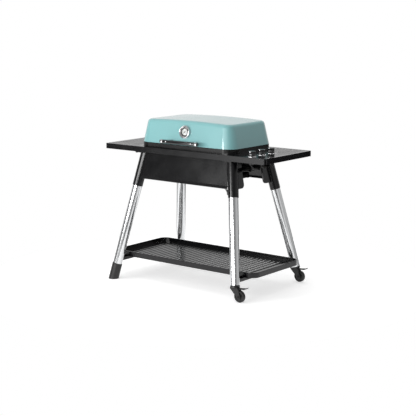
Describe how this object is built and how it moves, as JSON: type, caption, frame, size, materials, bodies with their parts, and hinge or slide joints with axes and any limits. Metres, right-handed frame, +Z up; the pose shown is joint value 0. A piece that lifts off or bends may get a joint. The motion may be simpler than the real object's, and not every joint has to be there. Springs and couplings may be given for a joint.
{
  "type": "gas_barbecue",
  "caption": "Gas barbecue with a mint enamel hood, round thermometer, two slatted side tables, top knobs, splayed brushed legs, slotted lower shelf and casters on the right.",
  "frame": {"origin": "bottom centre: on the floor, midway between the ends and between the feet", "axes": "+X to the cook's right, towards the knobs and casters; +Y to the back; +Z up"},
  "size_m": [1.32, 0.785, 1.093],
  "materials": {
    "mint_enamel": "gloss mint enamel over cast aluminium",
    "table_plastic": "satin black moulded plastic",
    "black_metal": "satin black powder coat on sheet steel",
    "cast_black": "satin black paint on cast aluminium",
    "cooking_iron": "black enamelled cast iron",
    "burner_steel": "plain steel, dulled",
    "brushed_tube": "satin brushed tube",
    "black_plastic": "black moulded plastic",
    "gloss_black": "gloss black moulding",
    "trim_chrome": "bright chrome plate",
    "gas_brass": "machined brass",
    "gas_pipe": "dark coated steel pipe",
    "dial_white": "white printed dial",
    "needle_paint": "black pointer",
    "gauge_glass": "clear flat glass"
  },
  "bodies": {
    "frame": {"front_rail": "black_metal", "rear_rail": "black_metal", "side_table_left": "table_plastic", "side_table_right": "table_plastic", "firebox": "cast_black", "cooking_grate_left": "cooking_iron", "cooking_grate_right": "cooking_iron", "hotplate": "cooking_iron", "burner_front": "burner_steel", "burner_middle": "burner_steel", "burner_rear": "burner_steel", "flame_covers": "burner_steel", "leg_casting_front_left": "black_metal", "leg_casting_front_right": "black_metal", "leg_casting_rear_left": "black_metal", "leg_casting_rear_right": "black_metal", "leg_tube_front_left": "brushed_tube", "leg_tube_front_right": "brushed_tube", "leg_tube_rear_left": "brushed_tube", "leg_tube_rear_right": "brushed_tube", "foot_boot_front": "black_plastic", "foot_boot_rear": "black_plastic", "front_panel": "black_metal", "rear_panel": "black_metal", "lower_shelf": "black_metal", "shelf_crossbars": "black_metal", "caster_plug_front": "black_plastic", "caster_plug_rear": "black_plastic", "knob_bezels": "trim_chrome", "gas_valves": "gas_brass", "manifold_pipe": "gas_pipe", "gas_inlet": "gas_brass", "feed_pipes": "gas_pipe", "tray_carrier": "burner_steel", "hinge_brackets": "cast_black", "hinge_pins": "burner_steel", "assembly_bolts": "burner_steel"},
    "lid": {"lid_shell": "mint_enamel", "handle_bar": "gloss_black", "handle_posts": "cast_black", "lid_hinge_arms": "cast_black", "thermometer_case": "trim_chrome", "thermometer_dial": "dial_white", "thermometer_glass": "gauge_glass"},
    "gauge_needle": {"thermometer_needle": "needle_paint"},
    "drip_tray": {"drip_tray": "burner_steel"},
    "valve_stem_front": {"valve_stem_front": "burner_steel"},
    "knob_front": {"knob_front": "gloss_black"},
    "valve_stem_middle": {"valve_stem_middle": "burner_steel"},
    "knob_middle": {"knob_middle": "gloss_black"},
    "valve_stem_rear": {"valve_stem_rear": "burner_steel"},
    "knob_rear": {"knob_rear": "gloss_black"},
    "caster_front": {"caster_fork_front": "black_plastic", "caster_axle_front": "burner_steel"},
    "wheel_front": {"caster_wheel_front": "black_plastic"},
    "brake_front": {"brake_lever_front": "black_plastic"},
    "caster_rear": {"caster_fork_rear": "black_plastic", "caster_axle_rear": "burner_steel"},
    "wheel_rear": {"caster_wheel_rear": "black_plastic"},
    "brake_rear": {"brake_lever_rear": "black_plastic"}
  },
  "joints": [
    {"name": "lid_hinge", "type": "hinge", "parent": "frame", "child": "lid", "pos_m": [0, 0.244, 0.926], "axis": [-1, 0, 0], "range_deg": [0, 80]},
    {"name": "gauge_needle_turn", "type": "hinge", "parent": "lid", "child": "gauge_needle", "pos_m": [0, -0.21432, 1.021], "axis": [0, 0.9869, -0.1616], "range_deg": [0, 270], "stiffness_Nm_per_rad": 0.001},
    {"name": "drip_tray_slide", "type": "slide", "parent": "frame", "child": "drip_tray", "axis": [1, 0, 0], "range_m": [0, 0.33]},
    {"name": "knob_press_front", "type": "slide", "parent": "frame", "child": "valve_stem_front", "axis": [0, 0, -1], "range_m": [0, 0.004], "stiffness_N_per_m": 3000, "springref_m": -0.002},
    {"name": "knob_turn_front", "type": "hinge", "parent": "valve_stem_front", "child": "knob_front", "pos_m": [0.531, -0.213, 0.92], "axis": [0, 0, 1], "range_deg": [0, 135]},
    {"name": "knob_press_middle", "type": "slide", "parent": "frame", "child": "valve_stem_middle", "axis": [0, 0, -1], "range_m": [0, 0.004], "stiffness_N_per_m": 3000, "springref_m": -0.002},
    {"name": "knob_turn_middle", "type": "hinge", "parent": "valve_stem_middle", "child": "knob_middle", "pos_m": [0.531, -0.11, 0.92], "axis": [0, 0, 1], "range_deg": [0, 135]},
    {"name": "knob_press_rear", "type": "slide", "parent": "frame", "child": "valve_stem_rear", "axis": [0, 0, -1], "range_m": [0, 0.004], "stiffness_N_per_m": 3000, "springref_m": -0.002},
    {"name": "knob_turn_rear", "type": "hinge", "parent": "valve_stem_rear", "child": "knob_rear", "pos_m": [0.531, -0.007, 0.92], "axis": [0, 0, 1], "range_deg": [0, 135]},
    {"name": "caster_swivel_front", "type": "hinge", "parent": "frame", "child": "caster_front", "pos_m": [0.498, -0.3373, 0.1], "axis": [0, 0, 1], "continuous": true},
    {"name": "wheel_spin_front", "type": "hinge", "parent": "caster_front", "child": "wheel_front", "pos_m": [0.535, -0.3373, 0.038], "axis": [0, 1, 0], "continuous": true},
    {"name": "brake_tip_front", "type": "hinge", "parent": "caster_front", "child": "brake_front", "pos_m": [0.524, -0.3373, 0.086], "axis": [0, 1, 0], "range_deg": [0, 10]},
    {"name": "caster_swivel_rear", "type": "hinge", "parent": "frame", "child": "caster_rear", "pos_m": [0.498, 0.3373, 0.1], "axis": [0, 0, 1], "continuous": true},
    {"name": "wheel_spin_rear", "type": "hinge", "parent": "caster_rear", "child": "wheel_rear", "pos_m": [0.535, 0.3373, 0.038], "axis": [0, 1, 0], "continuous": true},
    {"name": "brake_tip_rear", "type": "hinge", "parent": "caster_rear", "child": "brake_rear", "pos_m": [0.524, 0.3373, 0.086], "axis": [0, 1, 0], "range_deg": [0, 10]}
  ]
}
